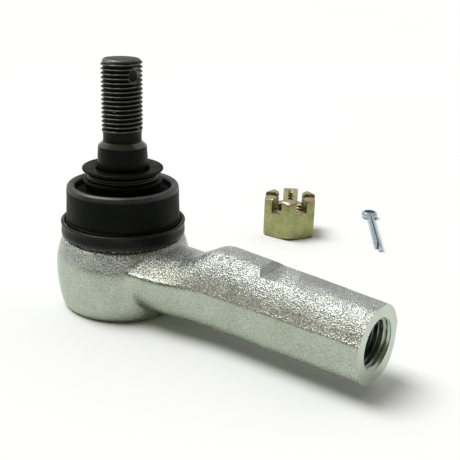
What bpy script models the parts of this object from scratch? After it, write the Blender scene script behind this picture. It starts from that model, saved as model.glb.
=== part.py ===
"""Tie rod end: a forged housing with a threaded shank, a ball stud under a rubber boot, and the slotted
nut and cotter pin that lock the stud in its steering arm.

Metres, +Z up. The origin is the middle of the closing plate's flat underside, the stud stands along +Z and
the shank runs along +X. The nut and the pin lie loose behind the shank, as they come out of the bag.
"""

import math

import bmesh
import bpy
from mathutils import Euler, Vector

MM = 0.001
GAP = 0.3 * MM
SIDES = 48

# Ball joint
BALL_CENTRE_Z = 14.5 * MM
BALL_RADIUS = 10.5 * MM
NECK_RADIUS = 6.2 * MM
OPENING_ANGLE = math.radians(25)

# Stud, M12 x 1.25 above a 1:8 taper
STUD_TOP_Z = 73.7 * MM
THREAD_RADIUS = 5.95 * MM
THREAD_FOOT_Z = 53.0 * MM
RELIEF_RADIUS = 5.6 * MM
TAPER_TOP_Z = 48.8 * MM
TAPER_TOP_RADIUS = 7.1 * MM
TAPER_SLOPE = 1 / 16
TAPER_FOOT_Z = 37.0 * MM
COTTER_HOLE_Z = 69.2 * MM
COTTER_HOLE_RADIUS = 1.7 * MM

# Housing, turned about the stud's axis
SOCKET_RADIUS = 20.2 * MM
SOCKET_WIDEST_Z = 12.0 * MM
SHOULDER_Z = 22.0 * MM
HOUSING_NECK_RADIUS = 15.3 * MM
HOUSING_TOP_Z = 26.8 * MM
CAVITY_RADIUS = 13.5 * MM
CAVITY_ROOF_Z = 19.6 * MM
OPENING_RADIUS = 9.8 * MM
LIP_RADIUS = 11.5 * MM
LIP_HEIGHT = 1.2 * MM

# Closing plate, spring washer and seats under and around the ball
PLATE_TOP_Z = 3.0 * MM
SPRING_TOP_Z = 5.4 * MM
SPRING_THICKNESS = 0.9 * MM
SEAT_SPLIT_Z = BALL_CENTRE_Z

# Shank, along +X
SHANK_LENGTH = 86.5 * MM
SHANK_AXIS_Z = 13.5 * MM
SHANK_PARTING_Z = 16.6 * MM
BORE_RADIUS = 6.2 * MM
BORE_MOUTH_RADIUS = 7.4 * MM
BORE_DEPTH = 54.0 * MM
WRENCH_FLATS = 20.0 * MM
WRENCH_FLATS_MIDDLE_Z = 14.0 * MM
WRENCH_FLAT_START = 51.5 * MM
WRENCH_FLAT_END = 78.5 * MM

# Boot and its two rings
BOOT_WALL_RADIUS = 16.8 * MM
BOOT_RIM_RADIUS = 14.3 * MM
BOOT_RIM_Z = 37.4 * MM
COLLAR_RADIUS = 11.0 * MM
COLLAR_TOP_Z = 42.4 * MM
FLANGE_RADIUS = 11.9 * MM
BASE_RING_RADIUS = 18.5 * MM
BASE_RING_TOP_Z = 26.5 * MM
NECK_RING_Z = 39.9 * MM

# Slotted nut, M12, 19 mm across its flats
NUT_FLATS = 19.0 * MM
NUT_HEIGHT = 15.0 * MM
NUT_BORE_RADIUS = 5.45 * MM
NUT_SLOT_WIDTH = 4.2 * MM
NUT_SLOT_DEPTH = 5.2 * MM
NUT_PLACE = Vector((4.0, 86.0, 0.0)) * MM
NUT_TURN = math.radians(32)

# Cotter pin, 3.2 x 36 mm, flat on the bench
PIN_WIDTH = 2.8 * MM
PIN_LEG_LENGTH = 36.0 * MM
PIN_SHORTER_BY = 2.6 * MM
PIN_EYE_RADIUS = 3.3 * MM
PIN_LEG_GAP = 0.3 * MM
PIN_PLACE = Vector((21.4, 120.2, 0.0)) * MM
PIN_TURN = math.radians(-57)


def clear_scene():
    for obj in list(bpy.data.objects):
        bpy.data.objects.remove(obj)


def new_collection(name):
    collection = bpy.data.collections.new(name)
    bpy.context.scene.collection.children.link(collection)
    return collection


def new_material(name, colour, roughness, metallic=0.0):
    material = bpy.data.materials.new(name)
    material.use_nodes = True
    shader = material.node_tree.nodes["Principled BSDF"]
    shader.inputs["Base Color"].default_value = (*colour, 1.0)
    shader.inputs["Roughness"].default_value = roughness
    shader.inputs["Metallic"].default_value = metallic
    return material


def add_object(name, mesh, collection, material=None):
    obj = bpy.data.objects.new(name, mesh)
    collection.objects.link(obj)
    if material:
        mesh.materials.append(material)
    return obj


def turned(name, profile, collection, material=None, sides=SIDES):
    """A solid of revolution about Z. The (radius, height) points run down the outer side."""
    mesh = bpy.data.meshes.new(name)
    points = [(radius, 0.0, height) for radius, height in profile]
    closed = profile[0][0] > 0.0
    edges = [(i, i + 1) for i in range(len(points) - 1)]
    if closed:
        edges.append((len(points) - 1, 0))
    mesh.from_pydata(points, edges, [])
    obj = add_object(name, mesh, collection, material)
    screw = obj.modifiers.new("Turn", "SCREW")
    screw.axis = "Z"
    screw.angle = math.tau
    screw.steps = sides
    screw.render_steps = sides
    screw.use_merge_vertices = True
    screw.merge_threshold = 0.00001
    screw.use_smooth_shade = True
    return obj


def boolean(obj, operation, other):
    modifier = obj.modifiers.new(operation.title(), "BOOLEAN")
    modifier.operation = operation
    modifier.solver = "EXACT"
    modifier.object = other
    return modifier


def make_cutter(obj):
    obj.hide_render = True
    obj.display_type = "WIRE"
    return obj


def box_cutter(name, low, high, collection):
    shape = bmesh.new()
    bmesh.ops.create_cube(shape, size=1.0)
    size = Vector(high) - Vector(low)
    middle = (Vector(high) + Vector(low)) / 2
    bmesh.ops.scale(shape, vec=size, verts=shape.verts)
    bmesh.ops.translate(shape, vec=middle, verts=shape.verts)
    mesh = bpy.data.meshes.new(name)
    shape.to_mesh(mesh)
    shape.free()
    return make_cutter(add_object(name, mesh, collection))


def arc(radius, centre, start, end, steps):
    """Points on a circle about centre, from one angle to another, in degrees from its first axis."""
    points = []
    for step in range(steps + 1):
        angle = math.radians(start + (end - start) * step / steps)
        points.append((centre[0] + radius * math.cos(angle), centre[1] + radius * math.sin(angle)))
    return points


def shank_section(x, top, bottom, half_width, half_points=14):
    """One ring of the shank: round with a flat crown above the parting line, fuller and squarer below it."""
    crown = top + 0.5 * MM - SHANK_AXIS_Z
    start = math.asin((SHANK_PARTING_Z - SHANK_AXIS_Z) / crown)
    power = 2 / 2.8
    ring = []
    for index in range(half_points):
        angle = start + (math.pi - 2 * start) * index / (half_points - 1)
        z = min(SHANK_AXIS_Z + crown * math.sin(angle), top)
        ring.append(Vector((x, half_width * math.cos(angle), z)))
    for index in range(half_points):
        angle = math.pi * index / (half_points - 1)
        y = -half_width * math.copysign(abs(math.cos(angle)) ** power, math.cos(angle))
        z = SHANK_PARTING_Z - (SHANK_PARTING_Z - bottom) * abs(math.sin(angle)) ** power
        ring.append(Vector((x, y, z)))
    return ring


def loft(name, rings, collection):
    shape = bmesh.new()
    loops = [[shape.verts.new(point) for point in ring] for ring in rings]
    for first, second in zip(loops, loops[1:]):
        for index in range(len(first)):
            after = (index + 1) % len(first)
            shape.faces.new((first[index], first[after], second[after], second[index]))
    shape.faces.new(list(reversed(loops[0])))
    shape.faces.new(loops[-1])
    bmesh.ops.recalc_face_normals(shape, faces=shape.faces)
    mesh = bpy.data.meshes.new(name)
    shape.to_mesh(mesh)
    shape.free()
    return make_cutter(add_object(name, mesh, collection))


def drill_shank(shank, cutters):
    """Mills the two wrench flats and drills the blind hole for the tie rod, with its countersunk mouth."""
    flat = WRENCH_FLATS / 2
    reach = 15.0 * MM
    for name, low, high in (
        ("upper_wrench_flat", WRENCH_FLATS_MIDDLE_Z + flat, WRENCH_FLATS_MIDDLE_Z + reach),
        ("lower_wrench_flat", WRENCH_FLATS_MIDDLE_Z - reach, WRENCH_FLATS_MIDDLE_Z - flat),
    ):
        corner = (WRENCH_FLAT_START, -reach, low)
        mill = box_cutter(name, corner, (WRENCH_FLAT_END, reach, high), cutters)
        boolean(shank, "DIFFERENCE", mill)

    bore = [
        (0.0, 1.0 * MM),
        (BORE_MOUTH_RADIUS, 1.0 * MM),
        (BORE_MOUTH_RADIUS, 0.0),
        (BORE_RADIUS, -(BORE_MOUTH_RADIUS - BORE_RADIUS)),
        (BORE_RADIUS, -BORE_DEPTH),
        (0.0, -BORE_DEPTH - BORE_RADIUS * math.tan(math.radians(30))),
    ]
    drill = make_cutter(turned("shank_bore", bore, cutters, sides=32))
    drill.rotation_euler = Euler((0.0, math.pi / 2, 0.0))
    drill.location = (SHANK_LENGTH, 0.0, SHANK_AXIS_Z)
    boolean(shank, "DIFFERENCE", drill)


def make_housing(collection, cutters):
    """The forging: a round socket for the ball, and the shank that the tie rod screws into."""
    profile = [
        (0.0, HOUSING_TOP_Z),
        (HOUSING_NECK_RADIUS - 0.4 * MM, HOUSING_TOP_Z),
        (HOUSING_NECK_RADIUS, HOUSING_TOP_Z - 0.4 * MM),
        (HOUSING_NECK_RADIUS, SHOULDER_Z),
        (18.3 * MM, SHOULDER_Z),
        (18.7 * MM, SHOULDER_Z - 0.6 * MM),
        (19.6 * MM, 17.0 * MM),
        (SOCKET_RADIUS, SOCKET_WIDEST_Z),
        (19.6 * MM, 5.0 * MM),
        (19.1 * MM, 2.6 * MM),
        (18.5 * MM, 0.8 * MM),
        (17.5 * MM, 0.0),
        (0.0, 0.0),
    ]
    steel = new_material("zinc_plated_forging", (0.62, 0.66, 0.60), 0.38, 0.9)
    housing = turned("housing", profile, collection, steel)

    stations = (
        (9.0, 20.6, 3.2, 14.0),
        (20.0, 20.6, 3.2, 13.6),
        (26.5, 20.9, 3.3, 12.6),
        (32.0, 23.3, 3.4, 11.5),
        (36.5, 25.8, 3.4, 10.8),
        (40.0, 26.4, 3.4, 10.4),
        (47.0, 26.1, 3.4, 10.2),
        (66.0, 24.8, 3.4, 10.2),
        (SHANK_LENGTH / MM, 23.4, 3.4, 10.2),
    )
    rings = [shank_section(*[value * MM for value in station]) for station in stations]
    shank = loft("shank_blank", rings, cutters)
    drill_shank(shank, cutters)
    boolean(housing, "UNION", shank)

    roof = (CAVITY_RADIUS - 0.6 * MM, CAVITY_ROOF_Z)
    mouth_z = HOUSING_TOP_Z + 1.0 * MM
    mouth_radius = OPENING_RADIUS + (mouth_z - CAVITY_ROOF_Z - 0.8 * MM) * math.tan(OPENING_ANGLE)
    cavity = [
        (0.0, mouth_z),
        (mouth_radius, mouth_z),
        (OPENING_RADIUS, CAVITY_ROOF_Z + 0.8 * MM),
        (OPENING_RADIUS, CAVITY_ROOF_Z),
        roof,
        (CAVITY_RADIUS, CAVITY_ROOF_Z - 0.6 * MM),
        (CAVITY_RADIUS, LIP_HEIGHT),
        (LIP_RADIUS, LIP_HEIGHT),
        (LIP_RADIUS, -1.0 * MM),
        (0.0, -1.0 * MM),
    ]
    boolean(housing, "DIFFERENCE", make_cutter(turned("socket_cavity", cavity, cutters)))

    return housing


def make_end_cap(collection):
    """The closing plate: the housing's rolled lip holds its rim, and its middle is pressed down flush."""
    steel = new_material("plated_plate", (0.60, 0.62, 0.60), 0.42, 0.9)
    rim = CAVITY_RADIUS - GAP
    boss = LIP_RADIUS - 2 * GAP
    profile = [
        (0.0, PLATE_TOP_Z),
        (rim, PLATE_TOP_Z),
        (rim, LIP_HEIGHT + GAP),
        (boss, LIP_HEIGHT + GAP),
        (boss, 0.0),
        (0.0, 0.0),
    ]
    return turned("end_cap", profile, collection, steel)


def make_preload_spring(collection):
    """A conical spring washer that presses the lower seat up against the ball."""
    steel = new_material("spring_steel", (0.30, 0.31, 0.33), 0.35, 1.0)
    outer = CAVITY_RADIUS - 3 * GAP
    inner = 9.0 * MM
    foot = PLATE_TOP_Z + GAP
    profile = [
        (inner, SPRING_TOP_Z),
        (outer, foot + SPRING_THICKNESS),
        (outer, foot),
        (inner, SPRING_TOP_Z - SPRING_THICKNESS),
    ]
    return turned("preload_spring", profile, collection, steel, sides=32)


def make_seats(collection):
    """Two polymer seats that hold the ball above and below its middle and can turn in the housing."""
    polymer = new_material("white_acetal", (0.80, 0.79, 0.74), 0.45)
    outer = CAVITY_RADIUS - GAP
    inner = BALL_RADIUS + GAP
    centre = (0.0, BALL_CENTRE_Z)
    top_z = CAVITY_ROOF_Z - GAP
    top_angle = math.degrees(math.asin((top_z - BALL_CENTRE_Z) / inner))
    upper = [(outer - 0.6 * MM, top_z), (outer, top_z - 0.6 * MM), (outer, SEAT_SPLIT_Z + GAP / 2)]
    upper += arc(inner, centre, 1.0, top_angle, 5)
    foot_z = SPRING_TOP_Z + GAP
    foot_angle = math.degrees(math.asin((foot_z - BALL_CENTRE_Z) / inner))
    lower = [(outer, SEAT_SPLIT_Z - GAP / 2), (outer, foot_z)]
    lower += arc(inner, centre, foot_angle, -1.0, 7)
    turned("upper_ball_seat", upper, collection, polymer)
    turned("lower_ball_seat", lower, collection, polymer)


def taper_radius(z):
    return TAPER_TOP_RADIUS + (TAPER_TOP_Z - z) * TAPER_SLOPE


def make_ball_stud(collection, cutters):
    """Ball, neck, taper and threaded end in one forging, drilled across for the cotter pin."""
    steel = new_material("black_phosphate", (0.035, 0.037, 0.037), 0.42, 0.7)
    junction = math.degrees(math.acos(NECK_RADIUS / BALL_RADIUS))
    profile = [
        (0.0, STUD_TOP_Z),
        (THREAD_RADIUS - 1.2 * MM, STUD_TOP_Z),
        (THREAD_RADIUS, STUD_TOP_Z - 1.2 * MM),
        (THREAD_RADIUS, THREAD_FOOT_Z + 0.4 * MM),
        (RELIEF_RADIUS, THREAD_FOOT_Z),
        (RELIEF_RADIUS, TAPER_TOP_Z + 1.6 * MM),
        (TAPER_TOP_RADIUS, TAPER_TOP_Z),
        (taper_radius(TAPER_FOOT_Z), TAPER_FOOT_Z),
        (NECK_RADIUS, TAPER_FOOT_Z - 4.0 * MM),
    ]
    profile += arc(BALL_RADIUS, (0.0, BALL_CENTRE_Z), junction, -72.0, 13)
    bottom = BALL_CENTRE_Z + BALL_RADIUS * math.sin(math.radians(-72.0))
    profile.append((0.0, bottom))
    stud = turned("ball_stud", profile, collection, steel)

    reach = 2 * THREAD_RADIUS
    sink = 0.7 * MM
    drill = [
        (0.0, reach),
        (COTTER_HOLE_RADIUS + sink + reach - THREAD_RADIUS, reach),
        (COTTER_HOLE_RADIUS, THREAD_RADIUS - sink),
        (COTTER_HOLE_RADIUS, sink - THREAD_RADIUS),
        (COTTER_HOLE_RADIUS + sink + reach - THREAD_RADIUS, -reach),
        (0.0, -reach),
    ]
    hole = make_cutter(turned("cotter_drill", drill, cutters, sides=16))
    hole.rotation_euler = Euler((0.0, math.pi / 2, 0.0))
    hole.location = (0.0, 0.0, COTTER_HOLE_Z)
    boolean(stud, "DIFFERENCE", hole)
    return stud


def make_boot(collection):
    """The rubber boot: a foot on the housing's neck, a wall rolled in over its rim, and a collar."""
    rubber = new_material("boot_rubber", (0.020, 0.021, 0.021), 0.55)
    foot = HOUSING_NECK_RADIUS + GAP
    base_outer = foot + 1.5 * MM
    foot_z = SHOULDER_Z + GAP
    wall_z = BASE_RING_TOP_Z + GAP
    bead = (BOOT_WALL_RADIUS - BOOT_RIM_RADIUS) / 2
    bead_centre = (BOOT_WALL_RADIUS - bead, BOOT_RIM_Z - bead)
    web_z = 33.2 * MM
    web = 1.1 * MM
    hole_top = taper_radius(COLLAR_TOP_Z) + GAP
    hole_foot = taper_radius(TAPER_FOOT_Z) + GAP
    groove = COLLAR_RADIUS - 1.0 * MM
    ring_half = 0.8 * MM + GAP
    profile = [
        (hole_top, COLLAR_TOP_Z),
        (FLANGE_RADIUS - 0.2 * MM, COLLAR_TOP_Z),
        (FLANGE_RADIUS, COLLAR_TOP_Z - 0.3 * MM),
        (FLANGE_RADIUS, COLLAR_TOP_Z - 1.1 * MM),
        (COLLAR_RADIUS, COLLAR_TOP_Z - 1.3 * MM),
        (COLLAR_RADIUS, NECK_RING_Z + ring_half),
        (groove, NECK_RING_Z + ring_half),
        (groove, NECK_RING_Z - ring_half),
        (COLLAR_RADIUS + 0.5 * MM, NECK_RING_Z - ring_half),
        (COLLAR_RADIUS + 0.5 * MM, NECK_RING_Z - ring_half - 0.8 * MM),
        (COLLAR_RADIUS, NECK_RING_Z - ring_half - 1.4 * MM),
        (COLLAR_RADIUS, 36.0 * MM),
        (COLLAR_RADIUS + 0.4 * MM, web_z + web),
        (BOOT_RIM_RADIUS - 0.4 * MM, web_z + web),
    ]
    profile += arc(bead, bead_centre, 180.0, 0.0, 6)
    profile += [
        (BOOT_WALL_RADIUS, wall_z),
        (base_outer, wall_z),
        (base_outer, foot_z),
        (foot, foot_z),
        (foot, HOUSING_TOP_Z),
        (BOOT_WALL_RADIUS - 1.4 * MM, HOUSING_TOP_Z + 1.6 * MM),
        (BOOT_WALL_RADIUS - 1.5 * MM, web_z),
        (hole_foot, web_z),
        (hole_foot, TAPER_FOOT_Z),
    ]
    return turned("dust_boot", profile, collection, rubber)


def make_boot_rings(collection):
    """The wide steel ring that clamps the boot's foot, and the wire ring that grips its collar."""
    black = new_material("black_ring", (0.022, 0.023, 0.023), 0.45, 0.2)
    inner = HOUSING_NECK_RADIUS + 2 * GAP + 1.5 * MM
    foot_z = SHOULDER_Z + GAP
    round_off = 0.6 * MM
    base = [(inner, BASE_RING_TOP_Z)]
    base += arc(round_off, (BASE_RING_RADIUS - round_off, BASE_RING_TOP_Z - round_off), 90.0, 0.0, 3)
    base += [(BASE_RING_RADIUS, foot_z + 0.3 * MM), (BASE_RING_RADIUS - 0.3 * MM, foot_z), (inner, foot_z)]
    turned("boot_base_ring", base, collection, black)
    wire = 0.8 * MM
    grip = arc(wire, (COLLAR_RADIUS - 1.0 * MM + GAP + wire, NECK_RING_Z), 90.0, -225.0, 7)
    turned("boot_neck_ring", grip, collection, black, sides=40)


def make_castle_nut(collection, cutters):
    """A hexagon nut with chamfered corners and six slots through its top, one in the middle of each flat."""
    plating = new_material("yellow_zinc", (0.55, 0.47, 0.26), 0.32, 0.95)
    corner = NUT_FLATS / 2 / math.cos(math.radians(30))
    shape = bmesh.new()
    bmesh.ops.create_cone(
        shape, cap_ends=True, segments=6, radius1=corner, radius2=corner, depth=NUT_HEIGHT
    )
    bmesh.ops.translate(shape, vec=(0.0, 0.0, NUT_HEIGHT / 2), verts=shape.verts)
    mesh = bpy.data.meshes.new("castle_nut")
    shape.to_mesh(mesh)
    shape.free()
    nut = add_object("castle_nut", mesh, collection, plating)

    chamfer = math.tan(math.radians(28))
    flat_radius = NUT_FLATS / 2 * 0.97
    far = corner + 2.0 * MM
    drop = (far - flat_radius) * chamfer
    envelope = [
        (0.0, NUT_HEIGHT + 1.0 * MM),
        (flat_radius - 1.0 * MM / chamfer, NUT_HEIGHT + 1.0 * MM),
        (far, NUT_HEIGHT - drop),
        (far, drop),
        (flat_radius, 0.0),
        (flat_radius, -1.0 * MM),
        (0.0, -1.0 * MM),
    ]
    boolean(nut, "INTERSECT", make_cutter(turned("nut_chamfer", envelope, cutters)))

    mouth = NUT_BORE_RADIUS + 0.8 * MM
    over = 1.0 * MM
    bore = [
        (0.0, NUT_HEIGHT + over),
        (mouth + over, NUT_HEIGHT + over),
        (NUT_BORE_RADIUS, NUT_HEIGHT - 0.8 * MM),
        (NUT_BORE_RADIUS, 0.8 * MM),
        (mouth + over, -over),
        (0.0, -over),
    ]
    boolean(nut, "DIFFERENCE", make_cutter(turned("nut_bore", bore, cutters, sides=32)))

    half = NUT_SLOT_WIDTH / 2
    for index in range(3):
        low = (-far, -half, NUT_HEIGHT - NUT_SLOT_DEPTH)
        slot = box_cutter(f"nut_slot_{index}", low, (far, half, NUT_HEIGHT + over), cutters)
        slot.rotation_euler = Euler((0.0, 0.0, math.radians(60 * index)))
        slot.parent = nut
        boolean(nut, "DIFFERENCE", slot)
    for name in ("nut_chamfer", "nut_bore"):
        bpy.data.objects[name].parent = nut
    nut.location = NUT_PLACE
    nut.rotation_euler = Euler((0.0, 0.0, NUT_TURN))
    return nut


def leg_end(length, gap, width):
    """The blunt end of one leg, from its flat inner face round to its outer face."""
    return [(length, gap), (length, width * 0.6), (length - 1.0 * MM, width)]


def make_cotter_pin(collection):
    """A split pin: one wire folded back on itself, with an eye at the fold and unequal legs."""
    plating = new_material("bright_zinc", (0.66, 0.70, 0.74), 0.25, 1.0)
    half_gap = PIN_LEG_GAP / 2
    half_width = PIN_WIDTH / 2
    short_leg = PIN_LEG_LENGTH - PIN_SHORTER_BY
    eye_centre = (-PIN_EYE_RADIUS, 0.0)
    outline = leg_end(PIN_LEG_LENGTH, half_gap, half_width)
    outline.append((2.4 * MM, half_width))
    outline += arc(PIN_EYE_RADIUS, eye_centre, 28.0, 332.0, 22)
    outline.append((2.4 * MM, -half_width))
    outline += reversed(leg_end(short_leg, -half_gap, -half_width))
    outline.append((1.6 * MM, -half_gap))
    outline += arc(PIN_EYE_RADIUS - 1.3 * MM, eye_centre, 330.0, 30.0, 22)
    outline.append((1.6 * MM, half_gap))

    curve = bpy.data.curves.new("cotter_pin", "CURVE")
    curve.dimensions = "2D"
    curve.fill_mode = "BOTH"
    curve.extrude = PIN_WIDTH / 2
    spline = curve.splines.new("POLY")
    spline.points.add(len(outline) - 1)
    for point, (x, y) in zip(spline.points, outline):
        point.co = (x, y, 0.0, 1.0)
    spline.use_cyclic_u = True
    pin = add_object("cotter_pin", curve, collection)
    curve.materials.append(plating)
    pin.location = PIN_PLACE + Vector((0.0, 0.0, PIN_WIDTH / 2))
    pin.rotation_euler = Euler((0.0, 0.0, PIN_TURN))
    return pin


clear_scene()
parts = new_collection("tie_rod_end")
helpers = new_collection("cutters")
make_housing(parts, helpers)
make_end_cap(parts)
make_preload_spring(parts)
make_seats(parts)
make_ball_stud(parts, helpers)
make_boot(parts)
make_boot_rings(parts)
make_castle_nut(parts, helpers)
make_cotter_pin(parts)
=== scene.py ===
"""How the tie rod end looks: its forging, stud, boot, rings, nut and pin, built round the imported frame.

Metres, +Z up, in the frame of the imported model.
"""

import math

import bpy
from mathutils import Matrix, Vector


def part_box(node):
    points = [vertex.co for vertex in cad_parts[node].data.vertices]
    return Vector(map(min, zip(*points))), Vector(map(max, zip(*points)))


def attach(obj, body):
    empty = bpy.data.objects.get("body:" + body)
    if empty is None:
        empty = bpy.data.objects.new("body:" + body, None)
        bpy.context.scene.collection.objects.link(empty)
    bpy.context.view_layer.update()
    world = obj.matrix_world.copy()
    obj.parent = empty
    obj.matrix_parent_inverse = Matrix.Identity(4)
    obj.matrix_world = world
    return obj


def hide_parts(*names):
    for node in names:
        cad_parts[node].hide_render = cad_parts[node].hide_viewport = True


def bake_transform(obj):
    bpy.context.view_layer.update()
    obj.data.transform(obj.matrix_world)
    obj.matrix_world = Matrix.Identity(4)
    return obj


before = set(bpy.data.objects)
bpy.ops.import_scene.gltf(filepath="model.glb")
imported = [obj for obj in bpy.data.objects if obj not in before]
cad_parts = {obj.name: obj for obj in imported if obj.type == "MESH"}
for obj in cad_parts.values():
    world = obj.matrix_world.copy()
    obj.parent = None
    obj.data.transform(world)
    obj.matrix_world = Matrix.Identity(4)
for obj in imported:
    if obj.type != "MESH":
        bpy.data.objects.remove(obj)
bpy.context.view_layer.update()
MM = 0.001


# ---------------------------------------------------------------------------------------------------
# The camera
# A long lens at the shank's open end, a little above the bench, with a slight roll.

CAMERA_PLACE = Vector((162.14, -162.68, 104.63)) * MM
CAMERA_AZIMUTH = math.radians(36.87)
CAMERA_ELEVATION = math.radians(19.63)
CAMERA_ROLL = math.radians(1.89)
CAMERA_LENS = 62.6

bpy.ops.object.camera_add()
camera = bpy.context.object
aim = Matrix.Rotation(CAMERA_AZIMUTH, 4, "Z")
aim = aim @ Matrix.Rotation(math.pi / 2 - CAMERA_ELEVATION, 4, "X")
aim = aim @ Matrix.Rotation(CAMERA_ROLL, 4, "Z")
camera.matrix_world = Matrix.Translation(CAMERA_PLACE) @ aim
camera.data.lens = CAMERA_LENS
camera.data.clip_start = 0.01
bpy.context.scene.camera = camera


# ---------------------------------------------------------------------------------------------------
# The studio
# A white table that runs out of sight, one large softbox overhead, and a dim warm room behind the
# camera, which is what the sides of the metal mirror.

FLOOR_SIDE = 12.0
SOFTBOX_FROM = Vector((-0.36, -0.20, 0.91))
SOFTBOX_WIDTH = math.radians(34)
SOFTBOX_STRENGTH = 2.45
ROOM_DARK = (0.10, 0.09, 0.05, 1.0)
ROOM_LIGHT = (0.66, 0.67, 0.66, 1.0)


def add_node(tree, kind, inputs=None, **settings):
    """Adds a shader node. An input is given a value, or another node's output to be linked to."""
    node = tree.nodes.new(kind)
    for name, value in settings.items():
        setattr(node, name, value)
    for name, value in (inputs or {}).items():
        if isinstance(value, bpy.types.NodeSocket):
            tree.links.new(value, node.inputs[name])
        else:
            node.inputs[name].default_value = value
    return node


def add_ramp(tree, factor, stops):
    """Adds a colour ramp with the given (position, colour) stops and returns its colour output."""
    node = add_node(tree, "ShaderNodeValToRGB", {"Fac": factor})
    elements = node.color_ramp.elements
    while len(elements) < len(stops):
        elements.new(0.5)
    for element, (position, colour) in zip(elements, stops):
        element.position = position
        element.color = colour
    return node.outputs["Color"]


def new_material(name):
    material = bpy.data.materials.new(name)
    material.use_nodes = True
    return material, material.node_tree, material.node_tree.nodes["Principled BSDF"]


def paint_table():
    material, tree, shader = new_material("white_table")
    place = add_node(tree, "ShaderNodeTexCoord").outputs["Object"]
    across = {"Vector": place, "Scale": [1.0 / FLOOR_SIDE] * 3, "Location": [0.5] * 3}
    place = add_node(tree, "ShaderNodeMapping", across).outputs["Vector"]
    noise = add_node(tree, "ShaderNodeTexNoise", {"Vector": place, "Scale": 30.0, "Detail": 3.0})
    whites = ((0.3, (0.90, 0.91, 0.90, 1)), (0.7, (0.94, 0.94, 0.93, 1)))
    tree.links.new(add_ramp(tree, noise.outputs["Fac"], whites), shader.inputs["Base Color"])
    shader.inputs["Roughness"].default_value = 0.85
    shader.inputs["Specular IOR Level"].default_value = 0.2
    return material


bpy.ops.object.select_all(action="DESELECT")
bpy.ops.mesh.primitive_plane_add(size=FLOOR_SIDE)
table = bpy.context.object
table.name = "table"
table.data.materials.append(paint_table())

world = bpy.data.worlds.new("room")
world.use_nodes = True
bpy.context.scene.world = world
sky = world.node_tree
direction = add_node(sky, "ShaderNodeTexCoord").outputs["Generated"]
behind_camera = (math.sin(CAMERA_AZIMUTH), -math.cos(CAMERA_AZIMUTH), 0.1)
facing = add_node(sky, "ShaderNodeVectorMath", {0: direction, 1: behind_camera}, operation="DOT_PRODUCT")
room = add_ramp(sky, facing.outputs["Value"], ((0.0, ROOM_LIGHT), (0.3, ROOM_DARK)))
sky.links.new(room, sky.nodes["Background"].inputs["Color"])
sky.nodes["Background"].inputs["Strength"].default_value = 1.0

bpy.ops.object.light_add(type="SUN")
softbox = bpy.context.object
softbox.name = "softbox"
softbox.data.angle = SOFTBOX_WIDTH
softbox.data.energy = SOFTBOX_STRENGTH
softbox.rotation_euler = (-SOFTBOX_FROM).to_track_quat("-Z", "Y").to_euler()

scene = bpy.context.scene
scene.view_settings.view_transform = "Standard"


# ---------------------------------------------------------------------------------------------------
# The housing
# One steel forging, shot blasted and zinc plated: a round socket for the ball and a solid shank with a
# parting line along each side. The end, the threaded hole, the two wrench flats and the socket's
# cavity are cut afterwards.

PARTING_Z = 16.6 * MM
SHANK_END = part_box("housing")[1].x
SHANK_BOTTOM = 3.4 * MM
SHANK_AXIS_Z = 13.5 * MM
SHANK_TOPS = ((9.0, 20.6), (20.0, 20.6), (25.5, 20.8), (28.0, 21.4), (32.0, 23.4), (36.5, 25.9))
SHANK_TOPS += ((39.5, 26.5), (47.0, 26.1), (66.0, 24.8), (90.0, 23.2))
SHANK_HALF_WIDTHS = ((9.0, 14.0), (20.0, 13.6), (26.5, 12.6), (32.0, 11.5), (36.5, 10.8))
SHANK_HALF_WIDTHS += ((40.0, 10.4), (47.0, 10.2), (90.0, 10.2))
SHANK_START = 9.0 * MM
CROWN_CUT = 0.5 * MM
SQUARENESS = 2 / 2.8
FILLET_END = 32.0 * MM
FILLET_FADE = 8.0 * MM
BORE_RADIUS = 6.2 * MM
BORE_THREAD = 7.0 * MM
BORE_MOUTH = 7.4 * MM
BORE_DEPTH = 54.0 * MM
BORE_PITCH = 1.5 * MM
WRENCH_FLATS = (4.0 * MM, 24.0 * MM)
FLAT_START = 51.5 * MM
FLAT_END = 78.5 * MM
NECK_RADIUS = 15.3 * MM
CAVITY_RADIUS = 13.5 * MM
CAVITY_ROOF = 19.6 * MM
PLATE_LIP = 11.5 * MM
OPENING = 9.8 * MM


def arc(radius, centre, start, end, steps):
    """(radius, height) points on a circle about centre, from one angle in degrees to another."""
    points = []
    for step in range(steps + 1):
        angle = math.radians(start + (end - start) * step / steps)
        points.append((centre[0] + radius * math.cos(angle), centre[1] + radius * math.sin(angle)))
    return points


def in_metres(rings):
    """(radius, height) points given in millimetres."""
    return [(radius * MM, height * MM) for radius, height in rings]


def turn(name, profile, sides=96, ring=False):
    """Turns a profile of (radius, height) points about Z: a circle, drawn out ring by ring.

    A solid gets a face at each end, and a ring gets a last wall that meets its first.
    """
    bpy.ops.object.select_all(action="DESELECT")
    radius, height = profile[0]
    foot = (0, 0, height)
    fill = "NOTHING" if ring else "NGON"
    bpy.ops.mesh.primitive_circle_add(vertices=sides, radius=radius, fill_type=fill, location=foot)
    piece = bpy.context.object
    piece.name = name
    bpy.ops.object.mode_set(mode="EDIT")
    for wider, higher in profile[1:] + (profile[:1] if ring else []):
        bpy.ops.mesh.extrude_region_move(TRANSFORM_OT_translate={"value": (0, 0, higher - height)})
        grow = wider / radius
        bpy.ops.transform.resize(value=(grow, grow, 1), center_override=(0, 0, higher))
        radius, height = wider, higher
    bpy.ops.mesh.select_all(action="SELECT")
    bpy.ops.mesh.remove_doubles(threshold=0.001 * MM)
    bpy.ops.mesh.normals_make_consistent(inside=False)
    bpy.ops.object.mode_set(mode="OBJECT")
    bpy.ops.object.transform_apply()
    return piece


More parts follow.
